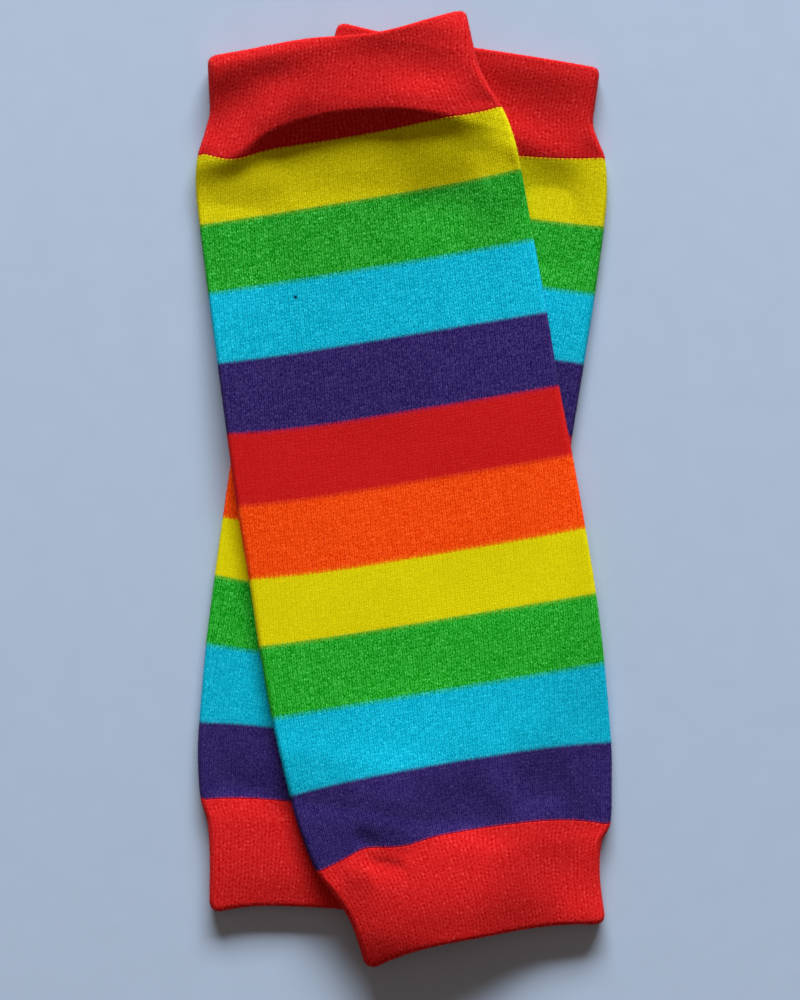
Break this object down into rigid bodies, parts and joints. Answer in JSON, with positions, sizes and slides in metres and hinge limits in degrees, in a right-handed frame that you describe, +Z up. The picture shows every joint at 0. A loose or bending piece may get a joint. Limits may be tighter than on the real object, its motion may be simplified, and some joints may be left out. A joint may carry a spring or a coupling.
{
  "type": "pair of knitted leg warmers",
  "caption": "Pair of rainbow-striped knitted leg warmers with short red cuffs, laid flat and crossed, one on the other.",
  "frame": {"origin": "centre of the pair's box in plan, on the surface it lies on", "axes": "+Z up from the surface, +Y along the pair towards its top cuffs, +X to the right seen from above"},
  "size_m": [0.1318, 0.3014, 0.0143],
  "materials": {
    "cuff_knit": "matte mock-rib knit, red",
    "striped_jersey": "matte plain knit in rainbow stripes"
  },
  "bodies": {
    "root": {"back_top_cuff": "cuff_knit", "back_leg": "striped_jersey", "back_bottom_cuff": "cuff_knit", "front_top_cuff": "cuff_knit", "front_leg": "striped_jersey", "front_bottom_cuff": "cuff_knit"}
  },
  "joints": []
}
